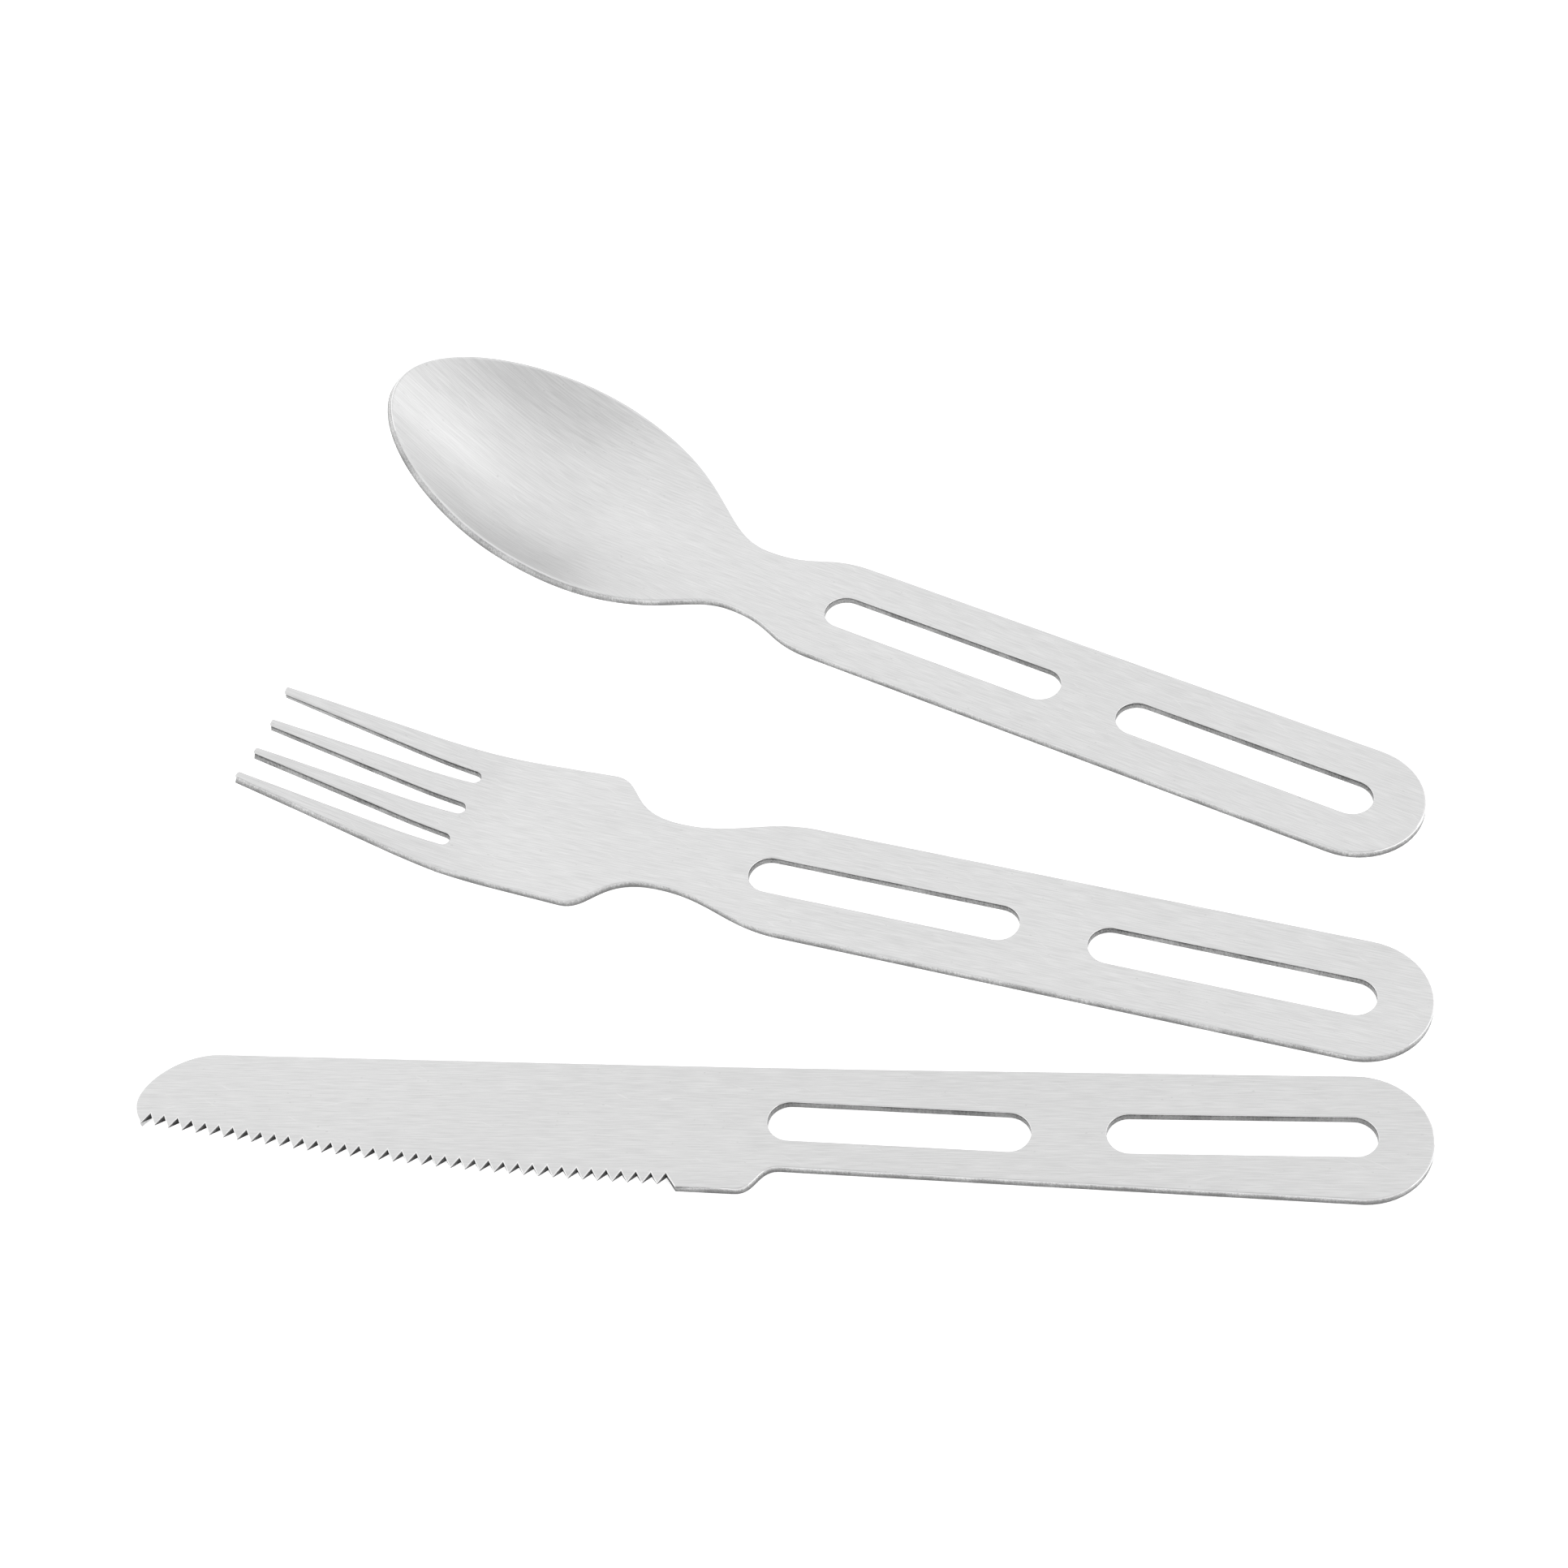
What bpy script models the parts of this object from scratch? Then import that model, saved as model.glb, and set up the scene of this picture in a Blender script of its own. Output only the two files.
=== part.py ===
"""A three-piece set of picnic cutlery, stamped from flat stainless sheet: a spoon, a fork and a serrated knife.

The pieces lie side by side on a table with their handles together and their heads fanned out. Each is drawn in its
own frame, x from the end of its handle (0) to its head and z up from the table, and is then turned and put in place.
"""

import math

import bmesh
import bpy
import numpy as np
from mathutils import Matrix, Vector

MM = 0.001

# Driving dimensions, in millimetres
SHEET = 1.35  # thickness of the steel
ARC_STEPS = 14  # segments in half a turn
CURVE_STEPS = 10  # segments in one free curve

# Where each handle ends on the table (x, y), and which way its head points, in degrees
LAYOUT = {
    "spoon": (-7.6, 33.9, 167.8),
    "fork": (0.0, 0.0, 180.0),
    "knife": (3.75, -20.6, 194.2),
}
LAYOUT_CENTRE = (-92.23, 10.61)  # middle of the whole set before it is moved to the origin

SPOON = {
    "half_handle": 10.5,
    "shoulder": 99.8,  # where the handle starts to narrow
    "neck": (117.1, 6.85),
    "widest": (153.0, 19.8),
    "length": 184.4,
    "slots": [(28.9, 0.0, 0.0), (81.3, 0.0, 0.0)],
    "slot_size": (42.2, 6.7),
    "rise_start": 122.9,  # the rim leaves the table here and soon climbs at rise_slope
    "rise_blend": 8.4,
    "rise_slope": 0.34,
    "floor_end": 146.5,  # the lowest line of the bowl lies on the table up to here
    "floor_power": 1.7,
    "section_power": 2.2,  # shape of the bowl across: 2 is a parabola
}
FORK = {
    "half_handle": 10.25,
    "shoulder": 94.5,
    "neck": (115.0, 6.1),
    "head": (128.6, 12.7),
    "half_at_roots": 11.85,
    "roots": 149.1,
    "length": 182.2,
    "tines": 4,
    "tine_spacing": (6.39, 6.05),  # at the roots, and at the tips
    "tine_width": (4.15, 1.36),
    "tip_radius": 0.4,
    "slots": [(28.9, 0.0, 0.0), (81.3, 0.0, 0.0)],
    "slot_size": (42.0, 6.5),
    "rise_start": 140.0,
    "rise_blend": 18.9,
    "rise_slope": 0.264,
    "outer_tine_rise": 1.25,  # how far the outer tips stand above the inner ones
}
KNIFE = {
    "end_radius": 10.0,
    "spine_bend": 57.0,  # the spine is straight up to here, then falls away a little
    "spine_end": (173.0, -11.5),
    "tip": (183.4, -3.2),
    "teeth": 37,
    "first_tooth": (181.9, 0.45),
    "last_tooth": (106.2, 9.3),
    "edge_bow": 1.45,  # how far the line of teeth bows out of its chord
    "tooth_depth": 1.85,  # the notches are V cuts of about 60 degrees
    "grind_angle": 31,  # the underside is ground away to the tooth tips at this angle
    "tip_thickness": 0.2,
    "heel": ((103.7, 9.65), (95.6, 9.95)),
    "finger_notch": (89.5, 6.25),
    "slots": [(26.0, 0.0, 0.0), (73.2, -0.65, -2.5)],
    "slot_size": (36.9, 6.4),
}


def arc(centre, radius, start, end, steps=ARC_STEPS):
    """Points on an arc from one angle to another, in degrees, both ends included."""
    return [
        (centre[0] + radius * math.cos(math.radians(a)), centre[1] + radius * math.sin(math.radians(a)))
        for a in np.linspace(start, end, steps + 1)
    ]


def curve(p0, h0, h1, p1, steps=CURVE_STEPS):
    """Points on a cubic curve from p0 to p1, whose handles are offsets from its ends."""
    points = []
    for t in np.linspace(0, 1, steps + 1):
        weights = ((1 - t) ** 3, 3 * (1 - t) ** 2 * t, 3 * (1 - t) * t**2, t**3)
        corners = (p0, (p0[0] + h0[0], p0[1] + h0[1]), (p1[0] + h1[0], p1[1] + h1[1]), p1)
        points.append(tuple(sum(w * c[axis] for w, c in zip(weights, corners)) for axis in (0, 1)))
    return points


def joined(*stretches):
    """One closed outline from stretches that may share their end points."""
    outline = []
    for point in (p for stretch in stretches for p in stretch):
        if not outline or math.dist(point, outline[-1]) > 1e-6:
            outline.append(point)
    return outline if math.dist(outline[0], outline[-1]) > 1e-6 else outline[:-1]


def mirrored(half):
    """The other half of an outline that is symmetric about x, so that the two make a closed one."""
    return [(x, -y) for x, y in reversed(half)]


def slot_outline(place, size):
    """A slot with round ends at place = (x, y, angle in degrees)."""
    x, y, angle = place
    reach, radius = (size[0] - size[1]) / 2, size[1] / 2
    shape = arc((reach, 0), radius, -90, 90) + arc((-reach, 0), radius, 90, 270)
    turn = Matrix.Rotation(math.radians(angle), 2)
    return [tuple(turn @ Vector(p) + Vector((x, y))) for p in shape]


def flat_mesh(name, outlines, thickness):
    """A flat plate around z = SHEET / 2 from one outer outline and its holes, as a mesh in metres."""
    data = bpy.data.curves.new(name + "_outline", "CURVE")
    data.dimensions = "2D"
    data.fill_mode = "BOTH"
    data.extrude = thickness / 2 * MM
    for outline in outlines:
        spline = data.splines.new("POLY")
        spline.points.add(len(outline) - 1)
        for point, (x, y) in zip(spline.points, outline):
            point.co = (x * MM, y * MM, 0, 1)
        spline.use_cyclic_u = True
    drawn = bpy.data.objects.new(name + "_outline", data)
    bpy.context.scene.collection.objects.link(drawn)
    drawn.location.z = SHEET / 2 * MM
    bpy.context.view_layer.update()
    graph = bpy.context.evaluated_depsgraph_get()
    mesh = bpy.data.meshes.new_from_object(drawn.evaluated_get(graph))
    mesh.transform(drawn.matrix_world)
    bpy.data.objects.remove(drawn)
    bm = bmesh.new()
    bm.from_mesh(mesh)
    bmesh.ops.remove_doubles(bm, verts=bm.verts, dist=1e-6)
    bmesh.ops.dissolve_limit(bm, angle_limit=math.radians(0.5), verts=[], edges=bm.edges)
    bm.to_mesh(mesh)
    bm.free()
    return mesh


def sliced(mesh, axis, stations):
    """Cuts the faces of a mesh along planes across one axis, so that it can be bent."""
    normal = [0, 0, 0]
    normal[axis] = 1
    bm = bmesh.new()
    bm.from_mesh(mesh)
    for station in stations:
        point = [0, 0, 0]
        point[axis] = station * MM
        whole = list(bm.verts) + list(bm.edges) + list(bm.faces)
        bmesh.ops.bisect_plane(bm, geom=whole, dist=1e-7, plane_co=point, plane_no=normal)
    bm.to_mesh(mesh)
    bm.free()


def lifted(mesh, height):
    """Raises each point of a mesh by height(x, y), all in millimetres."""
    for vertex in mesh.vertices:
        vertex.co.z += height(vertex.co.x / MM, abs(vertex.co.y) / MM) * MM


def rise(x, sizes):
    """Height of a head over the table: it starts gently and then climbs straight."""
    run = max(0.0, x - sizes["rise_start"])
    blend = sizes["rise_blend"]
    if run < blend:
        return sizes["rise_slope"] * run**2 / (2 * blend)
    return sizes["rise_slope"] * (run - blend / 2)


def steel(name, value, roughness):
    material = bpy.data.materials.new(name)
    material.use_nodes = True
    shader = material.node_tree.nodes["Principled BSDF"]
    shader.inputs["Base Color"].default_value = (value, value, value, 1)
    shader.inputs["Metallic"].default_value = 1.0
    shader.inputs["Roughness"].default_value = roughness
    return material


def place(name, mesh, collection, material):
    """Puts a piece on the table as an object of its own, with its origin at the end of its handle."""
    x, y, heading = LAYOUT[name]
    piece = bpy.data.objects.new(name, mesh)
    piece.location = ((x - LAYOUT_CENTRE[0]) * MM, (y - LAYOUT_CENTRE[1]) * MM, 0)
    piece.rotation_euler.z = math.radians(heading)
    mesh.materials.clear()
    mesh.materials.append(material)
    collection.objects.link(piece)
    return piece


def handle_half(sizes):
    """Half of a straight handle's outline: its round end, its side, and the curve in to its neck."""
    half, shoulder, neck = sizes["half_handle"], sizes["shoulder"], sizes["neck"]
    end = arc((half, 0), half, 180, 90, ARC_STEPS // 2)
    inwards = curve((shoulder, half), (8.5, 0), (-8.5, 0), neck)
    return end + inwards


def make_spoon(collection):
    sizes = SPOON
    neck, widest, length = sizes["neck"], sizes["widest"], sizes["length"]
    half = joined(
        handle_half(sizes),
        curve(neck, (10.6, 0), (-22.5, 0), widest, 14),
        curve(widest, (14.2, 0), (0, 11.0), (length, 0), 14),
    )
    slots = [slot_outline(slot, sizes["slot_size"]) for slot in sizes["slots"]]
    mesh = flat_mesh("spoon", [joined(half, mirrored(half)), *slots], 0)
    sliced(mesh, 0, np.arange(sizes["rise_start"], length - 1, 3.2))
    sliced(mesh, 1, np.arange(-18, 19, 3.0))
    along, across = zip(*half)
    top = rise(length, sizes)

    def bowl(x, y):
        """The bowl rises from its lowest line, floor, to its rim."""
        reach = np.interp(x, along, across)
        run = max(0.0, (x - sizes["floor_end"]) / (length - sizes["floor_end"]))
        floor = min(top * run ** sizes["floor_power"], rise(x, sizes))
        share = min(1.0, y / reach) if reach > 0.01 else 1.0
        return floor + (rise(x, sizes) - floor) * share ** sizes["section_power"]

    lifted(mesh, bowl)
    piece = place("spoon", mesh, collection, steel("spoon_steel", 0.62, 0.32))
    wall = piece.modifiers.new("wall", "SOLIDIFY")
    wall.thickness = SHEET * MM
    wall.offset = 0
    wall.use_even_offset = True


def make_fork(collection):
    sizes = FORK
    neck, head, roots, length = sizes["neck"], sizes["head"], sizes["roots"], sizes["length"]
    spacing, width, radius = sizes["tine_spacing"], sizes["tine_width"], sizes["tip_radius"]
    side = joined(
        handle_half(sizes),
        curve(neck, (9.6, 0), (-5.1, 0), head),
        [(roots, sizes["half_at_roots"])],
    )
    gap = (spacing[0] - width[0]) / 2  # half of the gap between two tines, at their roots
    teeth = []
    for k in range(sizes["tines"]):
        place_of = (sizes["tines"] - 1) / 2 - k  # 1.5, 0.5, -0.5 and -1.5 spacings from the middle
        middle = place_of * spacing[1]
        outer = middle + width[1] / 2
        inner = middle - width[1] / 2
        teeth += arc((length - radius, outer - radius), radius, 90, 0, 3)
        teeth += arc((length - radius, inner + radius), radius, 0, -90, 3)
        if k < sizes["tines"] - 1:
            teeth += arc((roots + gap, (place_of - 0.5) * spacing[0]), gap, 90, 270, 8)
    slots = [slot_outline(slot, sizes["slot_size"]) for slot in sizes["slots"]]
    mesh = flat_mesh("fork", [joined(side, teeth, mirrored(side)), *slots], SHEET)
    sliced(mesh, 0, np.arange(sizes["rise_start"], length - 1, 3.0))
    outermost = 1.5 * spacing[1]

    def sweep(x, y):
        """The head sweeps up along the tines, and a little more at its sides."""
        run = max(0.0, (x - roots) / (length - roots))
        return rise(x, sizes) + sizes["outer_tine_rise"] * run * (y / outermost) ** 2

    lifted(mesh, sweep)
    place("fork", mesh, collection, steel("fork_steel", 0.62, 0.32))


def make_knife(collection, cutters):
    sizes = KNIFE
    radius, tip, heel, notch = sizes["end_radius"], sizes["tip"], sizes["heel"], sizes["finger_notch"]
    first, last, bow = sizes["first_tooth"], sizes["last_tooth"], sizes["edge_bow"]
    pitch = (first[0] - last[0]) / (sizes["teeth"] - 1)

    def edge(x):
        """The line of the tooth tips: a chord with a slight bow."""
        share = (first[0] - x) / (first[0] - last[0])
        return first[1] + (last[1] - first[1]) * share + 4 * bow * share * (1 - share)

    teeth = []
    for k in range(sizes["teeth"]):
        point = first[0] - k * pitch
        root = point - pitch / 2
        teeth += [(point, edge(point)), (root, edge(root) - sizes["tooth_depth"])]
    outline = joined(
        arc((radius, 0), radius, 90, 270),
        curve((sizes["spine_bend"], -10.15), (38, 0), (-38, 0.6), sizes["spine_end"]),
        curve(sizes["spine_end"], (5.2, 0.1), (-0.2, -3.8), tip),
        curve(tip, (0.0, 1.5), (0.7, -0.6), first, 4),
        teeth,
        heel[:1],
        curve(heel[1], (-3.2, 0.1), (3.2, 0), notch, 12),
    )
    slots = [slot_outline(slot, sizes["slot_size"]) for slot in sizes["slots"]]
    mesh = flat_mesh("knife", [outline, *slots], SHEET)
    piece = place("knife", mesh, collection, steel("knife_steel", 0.62, 0.32))
    grinder = make_grinder(edge, last[0] - pitch / 2, tip[0] + 3, cutters)
    grinder.location = piece.location
    grinder.rotation_euler = piece.rotation_euler
    grind = piece.modifiers.new("grind", "BOOLEAN")
    grind.operation = "DIFFERENCE"
    grind.solver = "EXACT"
    grind.object = grinder


def make_grinder(edge, start, end, cutters):
    """A long box under the edge, tilted to the grind and bowed along the line of the tooth tips."""
    middle, length, depth = (start + end) / 2, end - start, 8.0
    bm = bmesh.new()
    bmesh.ops.create_cube(bm, size=1)
    bmesh.ops.scale(bm, vec=(length, depth, depth / 2), verts=bm.verts)
    for station in np.linspace(-length / 2, length / 2, 14)[1:-1]:
        whole = list(bm.verts) + list(bm.edges) + list(bm.faces)
        bmesh.ops.bisect_plane(bm, geom=whole, dist=1e-6, plane_co=(station, 0, 0), plane_no=(1, 0, 0))
    bmesh.ops.translate(bm, vec=(0, 0, -depth / 4), verts=bm.verts)
    tilt = Matrix.Rotation(math.radians(KNIFE["grind_angle"]), 3, "X")
    bmesh.ops.rotate(bm, cent=(0, 0, 0), matrix=tilt, verts=bm.verts)
    for vertex in bm.verts:
        x = vertex.co.x + middle
        vertex.co.x = x
        vertex.co.y += edge(x)
        vertex.co.z += SHEET - KNIFE["tip_thickness"]
    bmesh.ops.scale(bm, vec=(MM, MM, MM), verts=bm.verts)
    mesh = bpy.data.meshes.new("grinder")
    bm.to_mesh(mesh)
    bm.free()
    grinder = bpy.data.objects.new("grinder", mesh)
    grinder.display_type = "WIRE"
    grinder.hide_render = True
    cutters.objects.link(grinder)
    return grinder


def main():
    for thing in list(bpy.data.objects):
        bpy.data.objects.remove(thing)
    cutlery = bpy.data.collections.new("picnic_cutlery")
    bpy.context.scene.collection.children.link(cutlery)
    cutters = bpy.data.collections.new("cutters")
    bpy.context.scene.collection.children.link(cutters)
    make_spoon(cutlery)
    make_fork(cutlery)
    make_knife(cutlery, cutters)


main()
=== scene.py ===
import math

import bmesh
import bpy
from mathutils import Matrix, Vector


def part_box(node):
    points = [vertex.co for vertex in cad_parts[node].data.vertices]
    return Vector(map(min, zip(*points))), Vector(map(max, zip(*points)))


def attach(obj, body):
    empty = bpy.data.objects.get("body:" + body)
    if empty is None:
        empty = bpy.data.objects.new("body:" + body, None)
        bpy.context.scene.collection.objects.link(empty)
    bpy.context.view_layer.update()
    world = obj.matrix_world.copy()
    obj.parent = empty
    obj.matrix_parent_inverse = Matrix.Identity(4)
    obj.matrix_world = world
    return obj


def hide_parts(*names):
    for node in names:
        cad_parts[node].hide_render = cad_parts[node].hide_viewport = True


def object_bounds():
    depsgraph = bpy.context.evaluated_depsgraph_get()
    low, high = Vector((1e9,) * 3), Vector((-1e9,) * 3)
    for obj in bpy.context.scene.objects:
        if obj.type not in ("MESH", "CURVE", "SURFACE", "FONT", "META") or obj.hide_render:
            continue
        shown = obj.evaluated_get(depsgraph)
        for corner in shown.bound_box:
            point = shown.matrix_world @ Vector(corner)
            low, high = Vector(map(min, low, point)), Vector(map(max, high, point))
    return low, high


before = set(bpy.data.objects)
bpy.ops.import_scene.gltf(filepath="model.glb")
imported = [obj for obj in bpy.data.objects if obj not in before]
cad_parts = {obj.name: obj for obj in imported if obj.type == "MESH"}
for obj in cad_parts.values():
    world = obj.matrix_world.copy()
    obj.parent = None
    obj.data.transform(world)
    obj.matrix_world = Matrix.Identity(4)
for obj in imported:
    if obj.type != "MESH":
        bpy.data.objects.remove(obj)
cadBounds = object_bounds()
print("Frame loaded:", ", ".join(sorted(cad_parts)))

mm = 0.001
sheet = 1.35  # thickness of the steel, in mm
bowlMiddle = (154, 0)  # the spoon's rings run round this point
arcSteps = 28  # segments in half a turn
curveSteps = 36  # segments in one free curve


# Outlines, in mm, x from the end of the handle and y across

def arc(centre, radius, start, end, steps=arcSteps):
    angles = [math.radians(start + (end - start) * k / steps) for k in range(steps + 1)]
    return [(centre[0] + radius * math.cos(a), centre[1] + radius * math.sin(a)) for a in angles]


def curve(start, startHandle, endHandle, end, steps=curveSteps):
    start, end = Vector(start), Vector(end)
    corners = [start, start + Vector(startHandle), end + Vector(endHandle), end]
    points = []
    for k in range(steps + 1):
        t = k / steps
        weights = ((1 - t) ** 3, 3 * (1 - t) ** 2 * t, 3 * (1 - t) * t ** 2, t ** 3)
        points.append(tuple(sum((w * c for w, c in zip(weights, corners)), Vector((0, 0)))))
    return points


def joined(*stretches):
    outline = []
    for point in (p for stretch in stretches for p in stretch):
        if not outline or math.dist(point, outline[-1]) > 1e-4:
            outline.append(point)
    return outline if math.dist(outline[0], outline[-1]) > 1e-4 else outline[:-1]


def mirrored(half):
    return [(x, -y) for x, y in reversed(half)]


def slotOutline(x, y, angle, size):
    reach, radius = (size[0] - size[1]) / 2, size[1] / 2
    shape = arc((reach, 0), radius, -90, 90) + arc((-reach, 0), radius, 90, 270)
    turn = Matrix.Rotation(math.radians(angle), 2)
    return [tuple(turn @ Vector(p) + Vector((x, y))) for p in shape]


# Sheet work, in mm: a blank is cut flat, given its thickness and edges, and then pressed to shape

def flatBlank(outlines, stations):
    data = bpy.data.curves.new("outline", "CURVE")
    data.dimensions = "2D"
    data.fill_mode = "BOTH"
    for outline in outlines:
        spline = data.splines.new("POLY")
        spline.points.add(len(outline) - 1)
        for point, (x, y) in zip(spline.points, outline):
            point.co = (x, y, 0, 1)
        spline.use_cyclic_u = True
    drawn = bpy.data.objects.new("outline", data)
    bpy.context.scene.collection.objects.link(drawn)
    filled = bpy.data.meshes.new_from_object(drawn.evaluated_get(bpy.context.evaluated_depsgraph_get()))
    bm = bmesh.new()
    bm.from_mesh(filled)
    bpy.data.objects.remove(drawn)
    bpy.data.curves.remove(data)
    bpy.data.meshes.remove(filled)
    bmesh.ops.remove_doubles(bm, verts=bm.verts, dist=1e-3)

    # cuts across the blank leave it in clean strips that can be bent
    for station in stations:
        whole = bm.verts[:] + bm.edges[:] + bm.faces[:]
        cut = bmesh.ops.bisect_plane(bm, geom=whole, dist=1e-4, plane_co=(station, 0, 0), plane_no=(1, 0, 0))
        for edge in (g for g in cut["geom_cut"] if isinstance(g, bmesh.types.BMEdge)):
            edge.seam = True
    bmesh.ops.dissolve_limit(bm, angle_limit=0.001, verts=[], edges=bm.edges, delimit={"SEAM"})
    spare = [v for v in bm.verts if len(v.link_edges) == 2 and not v.is_boundary]
    bmesh.ops.dissolve_verts(bm, verts=spare)
    return bm


def anywhere(co):
    return True


slotZone = {"from": 5, "to": 105, "half": 5}  # every slot lies in this strip of a handle, in mm


def onSlot(co):
    return slotZone["from"] < co.x < slotZone["to"] and abs(co.y) < slotZone["half"]


def onOutside(co):
    return not onSlot(co)


def plainRounds(sizes):
    rounds = sizes["edgeRounds"]
    return [
        (sheet, onOutside, *rounds["outside"]),
        (sheet, onSlot, *rounds["slots"]),
        (0, anywhere, *rounds["under"]),
    ]


def spaced(first, last, step):
    return [first + k * step for k in range(int((last - first) / step) + 1)]


def nearAny(bm, places):
    return [v for v in bm.verts if min(math.dist(v.co.xy, p) for p in places) < 0.01]


finishesAndPaintedLight = {"face": 0, "edge": 1, "slot": 2, "rim": 3, "paintedLightWalls": 4}  # a piece's materials, in order: face, cut edge, slot walls with painted shade, rims with a painted highlight, and walls with painted light
wallSlope = 0.3  # a face is a wall when its normal rises less than this
rimSlope = 0.95  # and part of a rolled-over rim up to this
paintedHighlightLean = 0.55  # a rim takes the bright painted highlight when its normal leans this far along the piece


def isWall(face):
    return abs(face.normal.z) < wallSlope


def isRim(face):
    return wallSlope < face.normal.z < rimSlope


def thicken(bm, rounds):
    # The blank becomes a plate from z = 0 to the sheet's thickness. Its edges are rolled over as
    # rounds says: a level, a test of where along the outline, a width and a number of segments each.
    bm.normal_update()
    bmesh.ops.reverse_faces(bm, faces=[f for f in bm.faces if f.normal.z < 0])
    bmesh.ops.solidify(bm, geom=bm.faces[:], thickness=sheet)
    low = min(v.co.z for v in bm.verts)
    bmesh.ops.translate(bm, vec=(0, 0, -low), verts=bm.verts)
    bmesh.ops.recalc_face_normals(bm, faces=bm.faces)
    for level, chosen, width, segments in rounds:
        rim = [
            e for e in bm.edges
            if all(abs(v.co.z - level) < 0.01 and chosen(v.co) for v in e.verts)
            and abs(e.link_faces[0].normal.z - e.link_faces[1].normal.z) > 0.5
        ]
        bmesh.ops.bevel(
            bm, geom=rim, offset=width, offset_type="OFFSET", segments=segments, profile=0.5,
            affect="EDGES", material=-1, clamp_overlap=False, loop_slide=True,
        )
    bmesh.ops.dissolve_degenerate(bm, dist=1e-3, edges=bm.edges)
    bm.normal_update()
    for face in bm.faces:
        face.smooth = True
        # walls in the slots take a darker copy of the edge steel, painted shade; rims that lean along the
        # piece take a bright painted highlight
        if isWall(face):
            face.material_index = finishesAndPaintedLight["slot" if onSlot(face.calc_center_median()) else "edge"]
        elif isRim(face) and abs(face.normal.x) > paintedHighlightLean:
            face.material_index = finishesAndPaintedLight["rim"]


def press(bm, height):
    # Each point keeps its distance from the middle of the sheet, square to the pressed surface.
    step, inset = 0.15, 0.3
    for vertex in bm.verts:
        x, y = vertex.co.x, vertex.co.y
        middle = Vector(bowlMiddle) - Vector((x, y))
        near = Vector((x, y)) + middle.normalized() * inset if middle.length > 1 else Vector((x, y))
        slopeX = (height(near.x + step, near.y) - height(near.x - step, near.y)) / (2 * step)
        slopeY = (height(near.x, near.y + step) - height(near.x, near.y - step)) / (2 * step)
        normal = Vector((-slopeX, -slopeY, 1)).normalized()
        vertex.co = Vector((x, y, sheet / 2 + height(x, y))) + normal * (vertex.co.z - sheet / 2)


orderSteps = 1000  # steps to a mm, when a mesh is put in order
orderSpan = 100000  # more steps than any piece is wide or high


def orderKey(place):
    # One number for a place in mm, by x, then y, then z
    x, y, z = (round(value * orderSteps) for value in place)
    return float((x * orderSpan + y) * orderSpan + z)


def putInOrder(bm):
    # The operators leave a mesh in an order that changes from run to run
    bm.verts.sort(key=lambda v: orderKey(v.co))
    bm.edges.sort(key=lambda e: orderKey((e.verts[0].co + e.verts[1].co) / 2))
    bm.faces.sort(key=lambda f: orderKey(f.calc_center_median()))


def finishPiece(name, bm, sizes, height=None):
    # The end of each handle is round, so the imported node's box gives its middle, and the piece goes
    # there. A piece that is pressed to shape comes with its height over the plate, as a function.
    putInOrder(bm)
    levels = bm.verts.layers.float.new("level")
    for vertex in bm.verts:
        vertex[levels] = vertex.co.z / sheet
    if height:
        press(bm, height)
    lowest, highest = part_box(name)
    half = sizes["halfHandle"] * mm
    middleY = {"low": lowest.y + half, "high": highest.y - half, "both": (lowest.y + highest.y) / 2}
    end = Vector((highest.x - half, middleY[sizes["touches"]], lowest.z))
    turn = Matrix.Rotation(math.radians(sizes["heading"]), 4, "Z")
    place = Matrix.Translation(end) @ turn @ Matrix.Translation((-half, 0, 0)) @ Matrix.Scale(mm, 4)
    bmesh.ops.transform(bm, matrix=place, verts=bm.verts)
    data = bpy.data.meshes.new(name + "Polished")
    bm.to_mesh(data)
    bm.free()
    data.materials.append(brushedSteel(name + "Brushed", sizes))
    for part, look in sizes["cutEdges"].items():
        data.materials.append(shearedSteel(name + part[0].upper() + part[1:], sizes, *look))
    piece = bpy.data.objects.new(name + "Polished", data)
    bpy.context.scene.collection.objects.link(piece)
    weighted = piece.modifiers.new("flatFaces", "WEIGHTED_NORMAL")
    weighted.mode = "FACE_AREA_WITH_ANGLE"
    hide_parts(name)
    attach(piece, name)
    print(name, "made:", len(data.polygons), "faces")


# Materials

class Wire:
    def __init__(self, tree, socket=None):
        self.tree = tree
        self.socket = socket

    def node(self, kind, settings, sockets, output=0):
        made = self.tree.nodes.new(kind)
        for name, value in settings.items():
            setattr(made, name, value)
        for name, value in sockets.items():
            if isinstance(value, Wire):
                self.tree.links.new(value.socket, made.inputs[name])
            else:
                made.inputs[name].default_value = value
        return Wire(self.tree, made.outputs[output])

    def maths(self, operation, first, second=0.0):
        return self.node("ShaderNodeMath", {"operation": operation}, {0: first, 1: second})

    def __add__(self, other):
        return self.maths("ADD", self, other)

    def __sub__(self, other):
        return self.maths("SUBTRACT", self, other)

    def __rsub__(self, other):
        return self.maths("SUBTRACT", other, self)

    def __mul__(self, other):
        return self.maths("MULTIPLY", self, other)

    __radd__ = __add__
    __rmul__ = __mul__

    def between(self, low, high):
        # 0 below low, 1 above high, smooth in the middle
        return self.node(
            "ShaderNodeMapRange", {"interpolation_type": "SMOOTHSTEP"},
            {"Value": self, "From Min": low, "From Max": high},
        )

    def greys(self, dark, light):
        # a colour between two greys, by this value
        return self.node(
            "ShaderNodeMix", {"data_type": "RGBA"},
            {0: self, 6: (dark, dark, dark, 1), 7: (light, light, light, 1)}, 2,
        )


def newMaterial(name):
    material = bpy.data.materials.new(name)
    material.use_nodes = True
    material.node_tree.nodes.clear()
    tree = Wire(material.node_tree)
    place = tree.node("ShaderNodeTexCoord", {}, {}, 3)
    return material, tree, place


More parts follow.
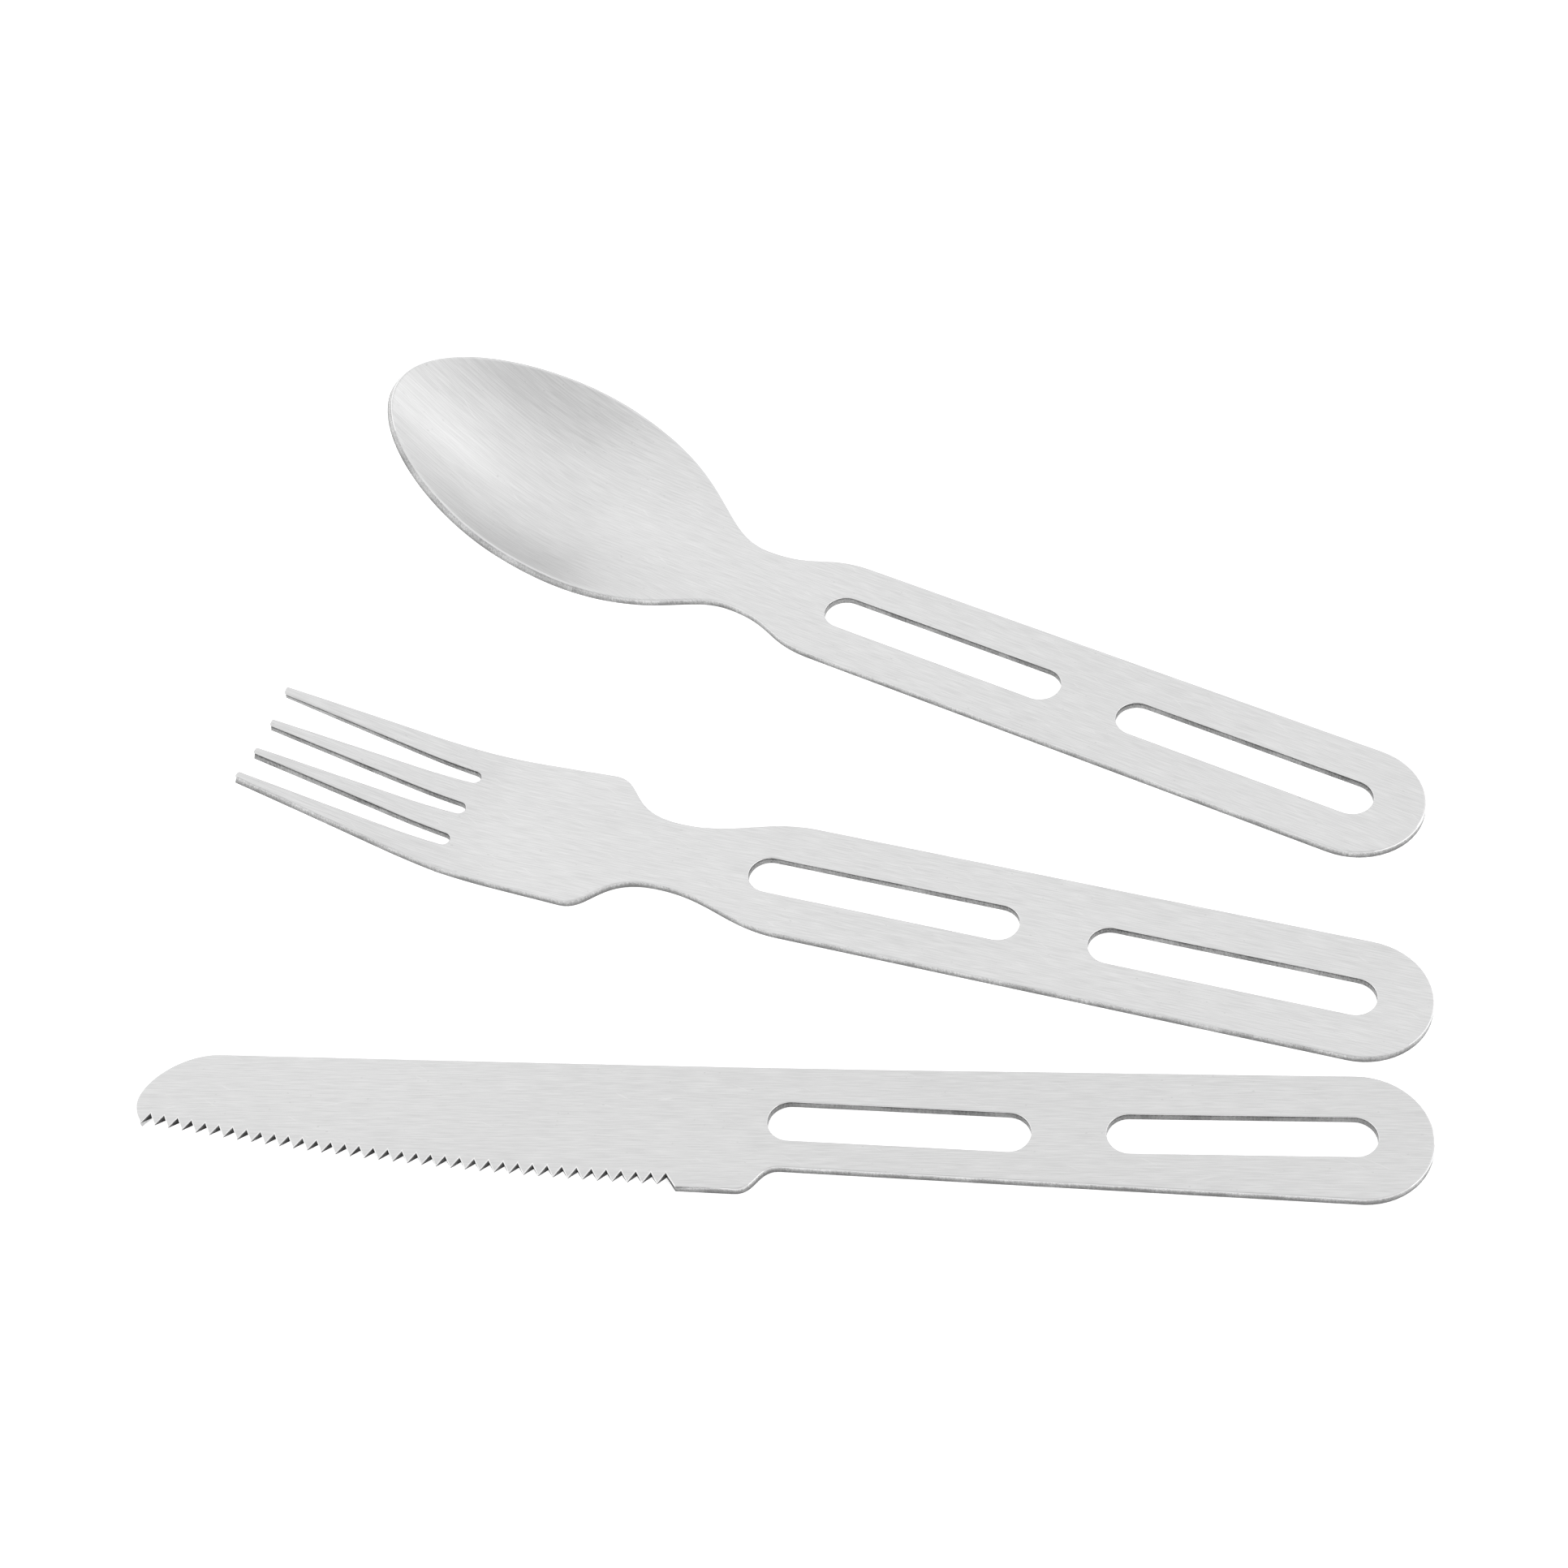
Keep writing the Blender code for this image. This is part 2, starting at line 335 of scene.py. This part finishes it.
def stretched(place, heading, size, turn=0.0):
    # The grain lies along the piece. A size is the length of its marks along, across and up, in metres.
    return place.node(
        "ShaderNodeMapping", {"vector_type": "TEXTURE"},
        {"Vector": place, "Rotation": (0, 0, math.radians(heading + turn)), "Scale": size},
    )


def noise(vector, detail, roughness=0.55):
    sockets = {"Vector": vector, "Scale": 1.0, "Detail": detail, "Roughness": roughness}
    return vector.node("ShaderNodeTexNoise", {}, sockets)


def finishMaterial(material, tree, colour, roughness, height, strength, distance):
    bump = tree.node("ShaderNodeBump", {}, {"Height": height, "Strength": strength, "Distance": distance})
    shader = tree.node(
        "ShaderNodeBsdfPrincipled", {},
        {"Base Color": colour, "Metallic": 1.0, "Roughness": roughness, "Normal": bump},
    )
    output = tree.tree.nodes.new("ShaderNodeOutputMaterial")
    tree.tree.links.new(shader.socket, output.inputs["Surface"])
    return material


brushed = {
    "roughness": 0.31,
    "hairline": (0.0045, 0.00017, 0.03),  # length of the marks along, across and up, in metres
    "streak": (0.022, 0.0009, 0.03),
    "cloud": (0.05, 0.02, 0.05),
    "shares": (0.75, 0.13, 0.12),  # of the hairlines, the streaks and the clouds in the grain
    "speck": (0.0007, 0.0004, 0.0007),
    "scratches": ((0.005, 0.0003, 0.005, 14), (0.004, 0.0003, 0.004, -27)),  # size, and turn in degrees
    "bump": (0.34, 0.00006),  # strength, and depth in metres
}


def brushedSteel(name, sizes):
    material, tree, place = newMaterial(name)
    heading = sizes["heading"]
    hairline = noise(stretched(place, heading, brushed["hairline"]), 3.0, 0.6)
    streak = noise(stretched(place, heading, brushed["streak"]), 2.0)
    cloud = noise(stretched(place, heading, brushed["cloud"]), 2.0)
    ofHairline, ofStreak, ofCloud = brushed["shares"]
    grain = hairline * ofHairline + streak * ofStreak + cloud * ofCloud
    speck = noise(stretched(place, heading, brushed["speck"]), 0.0).between(0.81, 0.86)
    first, second = (
        noise(stretched(place, heading, size, turn), 0.0).between(0.80, 0.84)
        for *size, turn in brushed["scratches"]
    )
    marks = first + second
    shade = grain.between(0.3, 0.7) - speck * 0.8 + marks * 0.35
    roughness = brushed["roughness"] + (hairline - 0.5) * 0.12 + speck * 0.1
    height = grain - speck * 0.3 + marks * 0.2
    colour = shade.greys(*sizes["faceGreys"])
    return finishMaterial(material, tree, colour, roughness, height, *brushed["bump"])


sheared = {
    "roughness": 0.38,
    "ribs": (0.00026, 0.00026, 0.0009),
    "grit": (0.00020, 0.00020, 0.00016),
    "patches": (0.005, 0.005, 0.002),
    "bump": (0.5, 0.0001),
}


def shearedSteel(name, sizes, dark, light, darkFrom, darkTo, depth):
    # A punched edge has upright ribs and grit, and its grey darkens from one level of the sheet to another.
    # The darker greys of slot walls and of the knife's notches are painted shade, and the near-white rim
    # greys a painted highlight.
    material, tree, place = newMaterial(name)
    heading = sizes["heading"]
    level = tree.node("ShaderNodeAttribute", {"attribute_name": "level"}, {}, 2)
    ribs = noise(stretched(place, heading, sheared["ribs"]), 2.0, 0.65)
    grit = noise(stretched(place, heading, sheared["grit"]), 2.0, 0.7)
    patches = noise(stretched(place, heading, sheared["patches"]), 1.0)
    band = level.between(darkFrom, darkTo)
    shade = ribs * 0.45 + grit * 0.7 + patches * 0.5 - band * depth
    roughness = sheared["roughness"] + band * 0.12
    height = ribs * 0.6 + grit * 0.5
    colour = shade.between(0.40, 1.15).greys(dark, light)
    return finishMaterial(material, tree, colour, roughness, height, *sheared["bump"])


# Spoon

spoon = {
    "heading": 167.8,
    # the same steel as the fork and knife; the small differences between the three pieces' greys are painted
    # light
    "faceGreys": (0.655, 0.790),
    "cutEdges": {  # darkest and lightest grey, the levels between which an edge darkens, and how much
        "edges": (0.20, 0.68, 0.9, 0.1, 0.32),
        # a darker copy of the edge steel: painted shade inside the slots
        "slots": (0.05, 0.42, 0.5, 0.9, 0.25),
        # near white: a painted highlight on rolled-over rims
        "rims": (0.9, 1.0, 0.5, 0.0, 0.0),
        # a lighter copy of the edge steel for the walls of the bowl's rim: painted light
        "bowlRim": (0.26, 0.72, 0.5, 0.0, 0.3),
    },
    "touches": "low",  # the side of the node's box that the handle's round end touches, besides its right
    "halfHandle": 10.5,
    "shoulder": 99.8,
    "neck": (117.1, 6.85),
    "widest": (153.0, 19.8),
    "length": 184.4,
    "slots": ((28.9, 0), (81.3, 0)),
    "slotSize": (42.2, 6.7),
    "riseStart": 122.9,
    "riseBlend": 8.4,
    "riseSlope": 0.34,
    "floorEnd": 146.5,
    "floorPower": 1.7,
    "sectionPower": 2.2,
    "strips": (12.2, 28.9, 45.6, 64.6, 81.3, 98),  # cuts across the handle, clear of its round corners
    "rings": 26,
    "rowSteps": 24,  # segments across the neck, where the flat handle meets the bowl
    "rimPaintedLighter": 140,  # the bowl's rim walls are painted lighter past this station
    "edgeRounds": {"outside": (0.35, 4), "slots": (0.14, 2), "under": (0.08, 1)},  # width, segments
}


def rise(x, sizes):
    run = max(0.0, x - sizes["riseStart"])
    if run < sizes["riseBlend"]:
        return sizes["riseSlope"] * run ** 2 / (2 * sizes["riseBlend"])
    return sizes["riseSlope"] * (run - sizes["riseBlend"] / 2)


def handleHalf(sizes):
    half, shoulder = sizes["halfHandle"], sizes["shoulder"]
    end = arc((half, 0), half, 180, 90, arcSteps // 2)
    return end + curve((shoulder, half), (8.5, 0), (-8.5, 0), sizes["neck"])


def atStation(points, x):
    # The y of a row of points with rising x, at one x
    if x <= points[0][0]:
        return points[0][1]
    for (x0, y0), (x1, y1) in zip(points, points[1:]):
        if x <= x1:
            return y0 + (y1 - y0) * (x - x0) / max(x1 - x0, 1e-9)
    return points[-1][1]


def makeSpoon():
    sizes = spoon
    start, length = sizes["riseStart"], sizes["length"]
    toWidest = curve(sizes["neck"], (10.6, 0), (-22.5, 0), sizes["widest"], 60)
    toTip = curve(sizes["widest"], (14.2, 0), (0, 11.0), (length, 0), 60)
    bowlSide = joined(toWidest, toTip)
    neckHalf = atStation(bowlSide, start)
    beforeBowl = [p for p in bowlSide if p[0] < start - 0.1]
    afterNeck = [(start, neckHalf)] + [p for p in bowlSide if p[0] > start + 0.1]

    # the handle and neck are a flat blank that ends in a straight row of points
    steps = sizes["rowSteps"]
    row = [(start, neckHalf - 2 * neckHalf * k / steps) for k in range(steps + 1)]
    side = joined(handleHalf(sizes), beforeBowl)
    slots = [slotOutline(x, y, 0, sizes["slotSize"]) for x, y in sizes["slots"]]
    bm = flatBlank([joined(side, row, mirrored(side)), *slots], sizes["strips"])

    # the bowl is a disc of rings, so that its facets follow the rim
    rimPoints = joined(afterNeck, mirrored(afterNeck), list(reversed(row))[1:-1])
    centre = Vector((*bowlMiddle, 0))
    disc = bmesh.new()
    ring = bmesh.ops.create_circle(disc, cap_ends=False, segments=len(rimPoints), radius=1)["verts"]
    for vertex, point in zip(sorted(ring, key=lambda v: math.atan2(v.co.y, -v.co.x)), rimPoints):
        vertex.co = (point[0], point[1], 0)
    edges = disc.edges[:]
    for k in range(sizes["rings"]):
        grown = bmesh.ops.extrude_edge_only(disc, edges=edges)["geom"]
        ring = [g for g in grown if isinstance(g, bmesh.types.BMVert)]
        edges = [g for g in grown if isinstance(g, bmesh.types.BMEdge) and all(v in ring for v in g.verts)]
        nearer = 1 - 1 / (sizes["rings"] - k)
        bmesh.ops.scale(disc, vec=(nearer,) * 3, verts=ring, space=Matrix.Translation(-centre))
    bmesh.ops.remove_doubles(disc, verts=ring, dist=1e-4)
    bowlData = bpy.data.meshes.new("bowl")
    disc.to_mesh(bowlData)
    disc.free()
    bm.from_mesh(bowlData)
    bpy.data.meshes.remove(bowlData)
    bmesh.ops.remove_doubles(bm, verts=bm.verts, dist=2e-3)
    thicken(bm, plainRounds(sizes))

    # the walls of the bowl's rim take the lighter copy of the edge steel: painted light
    for face in bm.faces:
        if isWall(face) and face.calc_center_median().x > sizes["rimPaintedLighter"]:
            face.material_index = finishesAndPaintedLight["paintedLightWalls"]
    top = rise(length, sizes)

    def bowlHeight(x, y):
        if x <= start:
            return 0.0
        reach = atStation(bowlSide, min(x, length - 0.02))
        run = max(0.0, (x - sizes["floorEnd"]) / (length - sizes["floorEnd"]))
        floor = min(top * run ** sizes["floorPower"], rise(x, sizes))
        return floor + (rise(x, sizes) - floor) * min(1.0, abs(y) / reach) ** sizes["sectionPower"]

    finishPiece("spoon", bm, sizes, bowlHeight)


# Fork

fork = {
    "heading": 180.0,
    # a little darker than the spoon's greys: painted light on the same steel
    "faceGreys": (0.650, 0.785),
    "cutEdges": {
        "edges": (0.20, 0.68, 0.9, 0.1, 0.32),
        # a darker copy of the edge steel: painted shade inside the slots and between the tines
        "slots": (0.05, 0.42, 0.5, 0.9, 0.25),
        # near white: a painted highlight on rolled-over rims and tine tips
        "rims": (0.9, 1.0, 0.5, 0.0, 0.0),
    },
    "touches": "both",
    "halfHandle": 10.25,
    "shoulder": 94.5,
    "neck": (115.0, 6.1),
    "head": (128.6, 12.7),
    "halfAtRoots": 11.85,
    "roots": 149.1,
    "length": 182.2,
    "tines": 4,
    "tineSpacing": (6.39, 6.05),  # at the roots, and at the tips
    "tineWidth": (4.15, 1.36),
    "tipRadius": 0.4,
    "slots": ((28.9, 0), (81.3, 0)),
    "slotSize": (42.0, 6.5),
    "riseStart": 140.0,
    "riseBlend": 18.9,
    "riseSlope": 0.264,
    "outerTineRise": 1.25,
    "combHalf": 9,  # walls nearer the middle line than this, past the roots, lie between two tines
    "edgeRounds": {"outside": (0.22, 3), "slots": (0.14, 2), "under": (0.06, 1)},
    "strips": (12.2, 28.9, 45.6, 64.6, 81.3, 93),
}


def makeFork():
    sizes = fork
    roots, length, radius = sizes["roots"], sizes["length"], sizes["tipRadius"]
    spacing, width = sizes["tineSpacing"], sizes["tineWidth"]
    side = joined(handleHalf(sizes), curve(sizes["neck"], (9.6, 0), (-5.1, 0), sizes["head"]))
    side.append((roots, sizes["halfAtRoots"]))
    gap = (spacing[0] - width[0]) / 2
    comb = []
    for k in range(sizes["tines"]):
        place = (sizes["tines"] - 1) / 2 - k
        outer = place * spacing[1] + width[1] / 2
        inner = place * spacing[1] - width[1] / 2
        comb += arc((length - radius, outer - radius), radius, 90, 0, 6)
        comb += arc((length - radius, inner + radius), radius, 0, -90, 6)
        if k < sizes["tines"] - 1:
            comb += arc((roots + gap, (place - 0.5) * spacing[0]), gap, 90, 270, 16)
    slots = [slotOutline(x, y, 0, sizes["slotSize"]) for x, y in sizes["slots"]]
    bends = spaced(sizes["riseStart"] - 1, roots - 0.7, 1.0) + spaced(roots + gap, length - 1, 1.0)
    bm = flatBlank([joined(side, comb, mirrored(side)), *slots], [*sizes["strips"], *bends])
    thicken(bm, plainRounds(sizes))

    # the walls at the tine tips take the bright painted highlight, and the walls between the tines the
    # painted shade of the slot walls
    for face in bm.faces:
        middle = face.calc_center_median()
        if isWall(face) and middle.x > length - radius:
            face.material_index = finishesAndPaintedLight["rim"]
        elif isWall(face) and middle.x > roots - 1 and abs(middle.y) < sizes["combHalf"]:
            face.material_index = finishesAndPaintedLight["slot"]

    def headHeight(x, y):
        run = max(0.0, (x - roots) / (length - roots))
        return rise(x, sizes) + sizes["outerTineRise"] * run * (abs(y) / (1.5 * spacing[1])) ** 2

    finishPiece("fork", bm, sizes, headHeight)


# Knife

knife = {
    "heading": 194.2,
    # darker than the spoon's and fork's greys: painted shade on the same steel
    "faceGreys": (0.630, 0.752),
    "cutEdges": {
        "edges": (0.20, 0.68, 0.9, 0.1, 0.32),
        # a darker copy of the edge steel: painted shade inside the slots
        "slots": (0.05, 0.42, 0.5, 0.9, 0.25),
        # near white: a painted highlight on rolled-over rims along the teeth and round the tip
        "rims": (0.9, 1.0, 0.5, 0.0, 0.0),
        # near black and darkest towards the bottom: painted shade in the notches between the teeth
        "teeth": (0.004, 0.24, 0.95, 0.2, 0.6),
    },
    "touches": "high",
    "halfHandle": 10.0,
    "spineBend": (57.0, -10.15),
    "spineEnd": (173.0, -11.5),
    "tip": (183.4, -3.2),
    "teeth": 37,
    "firstTooth": (181.9, 0.45),
    "lastTooth": (106.2, 9.3),
    "edgeBow": 1.45,
    "toothDepth": 1.85,
    "tipThickness": 0.2,
    "edgeRounds": {"outside": (0.28, 4), "slots": (0.14, 2), "teeth": (0.12, 1)},
    "heel": ((103.7, 9.65), (95.6, 9.95)),
    "fingerNotch": (89.5, 6.25),
    "slots": ((26.0, 0, 0), (73.2, -0.65, -2.45)),
    "slotSize": (36.9, 6.4),
    "strips": (11.8, 26, 40.2, 59, 73.2, 87.4),
}


def makeKnife():
    sizes = knife
    radius, tip, heel = sizes["halfHandle"], sizes["tip"], sizes["heel"]
    first, last = sizes["firstTooth"], sizes["lastTooth"]
    pitch = (first[0] - last[0]) / (sizes["teeth"] - 1)

    def edgeLine(x):
        share = (first[0] - x) / (first[0] - last[0])
        return first[1] + (last[1] - first[1]) * share + 4 * sizes["edgeBow"] * share * (1 - share)

    points = [(first[0] - k * pitch, edgeLine(first[0] - k * pitch)) for k in range(sizes["teeth"])]
    notches = [(x - pitch / 2, edgeLine(x - pitch / 2) - sizes["toothDepth"]) for x, y in points]
    outline = joined(
        arc((radius, 0), radius, 90, 270),
        curve(sizes["spineBend"], (38, 0), (-38, 0.6), sizes["spineEnd"]),
        curve(sizes["spineEnd"], (5.2, 0.1), (-0.2, -3.8), tip),
        curve(tip, (0, 1.5), (0.7, -0.6), first, 12),
        [p for pair in zip(points, notches) for p in pair],
        heel[:1],
        curve(heel[1], (-3.2, 0.1), (3.2, 0), sizes["fingerNotch"]),
    )
    slots = [slotOutline(x, y, angle, sizes["slotSize"]) for x, y, angle in sizes["slots"]]
    bm = flatBlank([outline, *slots], [*sizes["strips"], *(x for x, y in notches[2::3])])
    roots = [nearAny(bm, [notch])[0] for notch in notches]
    for pair in zip(roots, roots[1:]):
        bmesh.ops.connect_vert_pair(bm, verts=pair)

    def onTeeth(co):
        alongTeeth = last[0] - 3 < co.x < first[0] + 0.01
        return alongTeeth and co.y > edgeLine(co.x) - sizes["toothDepth"] - 0.3

    def onPlainOutside(co):
        return not onTeeth(co) and not onSlot(co)

    rounds = sizes["edgeRounds"]
    thicken(bm, [
        (sheet, onPlainOutside, *rounds["outside"]),
        (sheet, onSlot, *rounds["slots"]),
        (sheet, onTeeth, *rounds["teeth"]),
    ])
    # the notches' walls take the dark painted shade, and the rims along the teeth and round the tip the
    # bright painted highlight
    for face in bm.faces:
        middle = face.calc_center_median()
        if onTeeth(middle) and isWall(face):
            face.material_index = finishesAndPaintedLight["paintedLightWalls"]
        elif (onTeeth(middle) or middle.x > sizes["spineEnd"][0]) and isRim(face):
            face.material_index = finishesAndPaintedLight["rim"]

    # the underside of each tooth is ground up to its point
    for vertex in nearAny(bm, points):
        if vertex.co.z < 0.01:
            vertex.co.z = sheet - sizes["tipThickness"]
    finishPiece("knife", bm, sizes)


# Studio

studio = {
    "floorSize": 6.0,
    "floorGap": 0.00002,  # under the lowest point of the pieces, in metres
    "floorColour": 0.9,
    "floorGlow": 0.58,
    "sky": 1.0,
    "openingEdge": 38,  # how far the darker part reaches round the camera, in degrees
    "openingLoss": 0.25,
    "lights": (  # place, size, power, in metres and watts
        ("rightSoftbox", (1.7, 1.8, 1.8), (1.6, 1.6), 2.0),
        ("leftSoftbox", (-1.8, 1.5, 1.9), (2.0, 1.6), 1.2),
    ),
}

view = {
    "target": (-10.8, 7.96, 0),  # the point on the table that the camera looks at, in mm
    "distance": 426.1,
    "azimuth": 23.98,
    "elevation": 49.37,
    "roll": -7.45,
    "lens": 63.02,
}


def awayFromTarget():
    azimuth, elevation = math.radians(view["azimuth"]), math.radians(view["elevation"])
    flat = Vector((math.sin(azimuth), -math.cos(azimuth), 0))
    return flat * math.cos(elevation) + Vector((0, 0, math.sin(elevation)))


def makeStudio():
    bm = bmesh.new()
    bmesh.ops.create_grid(bm, x_segments=1, y_segments=1, size=studio["floorSize"] / 2)
    bmesh.ops.translate(bm, vec=(0, 0, cadBounds[0][2] - studio["floorGap"]), verts=bm.verts)
    data = bpy.data.meshes.new("floor")
    bm.to_mesh(data)
    bm.free()
    floor = bpy.data.objects.new("floor", data)
    bpy.context.scene.collection.objects.link(floor)
    material = bpy.data.materials.new("paleFloor")
    material.use_nodes = True
    shader = material.node_tree.nodes["Principled BSDF"]
    grey = studio["floorColour"]
    shader.inputs["Base Color"].default_value = (grey, grey, grey, 1)
    shader.inputs["Roughness"].default_value = 0.9
    shader.inputs["Specular IOR Level"].default_value = 0.0
    shader.inputs["Emission Color"].default_value = (1, 1, 1, 1)
    shader.inputs["Emission Strength"].default_value = studio["floorGlow"]
    data.materials.append(material)

    # a white tent, less bright on the camera's side
    world = bpy.data.worlds.new("tent")
    bpy.context.scene.world = world
    world.use_nodes = True
    tree = Wire(world.node_tree)
    towards = tree.node("ShaderNodeTexCoord", {}, {}, 0)
    both = {0: towards, 1: awayFromTarget()}
    facing = tree.node("ShaderNodeVectorMath", {"operation": "DOT_PRODUCT"}, both, 1)
    opening = facing.between(math.cos(math.radians(studio["openingEdge"])), 1.0)
    strength = studio["sky"] - opening * studio["openingLoss"]
    world.node_tree.links.new(strength.socket, world.node_tree.nodes["Background"].inputs["Strength"])
    world.node_tree.nodes["Background"].inputs["Color"].default_value = (1, 1, 1, 1)
    for name, place, size, power in studio["lights"]:
        lamp = bpy.data.lights.new(name, "AREA")
        lamp.shape = "RECTANGLE"
        lamp.size, lamp.size_y = size
        lamp.energy = power
        light = bpy.data.objects.new(name, lamp)
        light.location = place
        light.rotation_euler = (-Vector(place)).to_track_quat("-Z", "Y").to_euler()
        bpy.context.scene.collection.objects.link(light)
    bpy.context.scene.view_settings.view_transform = "Standard"
    print("Studio made:", len(studio["lights"]), "lights")


def makeCamera():
    away = awayFromTarget()
    place = Vector(view["target"]) * mm + away * view["distance"] * mm
    roll = Matrix.Rotation(math.radians(view["roll"]), 4, "Z")
    data = bpy.data.cameras.new("camera")
    data.lens = view["lens"]
    data.sensor_width = 36
    data.clip_start = 0.01
    camera = bpy.data.objects.new("camera", data)
    facing = away.to_track_quat("Z", "Y").to_matrix().to_4x4()
    camera.matrix_world = Matrix.Translation(place) @ facing @ roll
    bpy.context.scene.collection.objects.link(camera)
    bpy.context.scene.camera = camera
    print("Camera placed")


makeSpoon()
makeFork()
makeKnife()
makeStudio()
makeCamera()
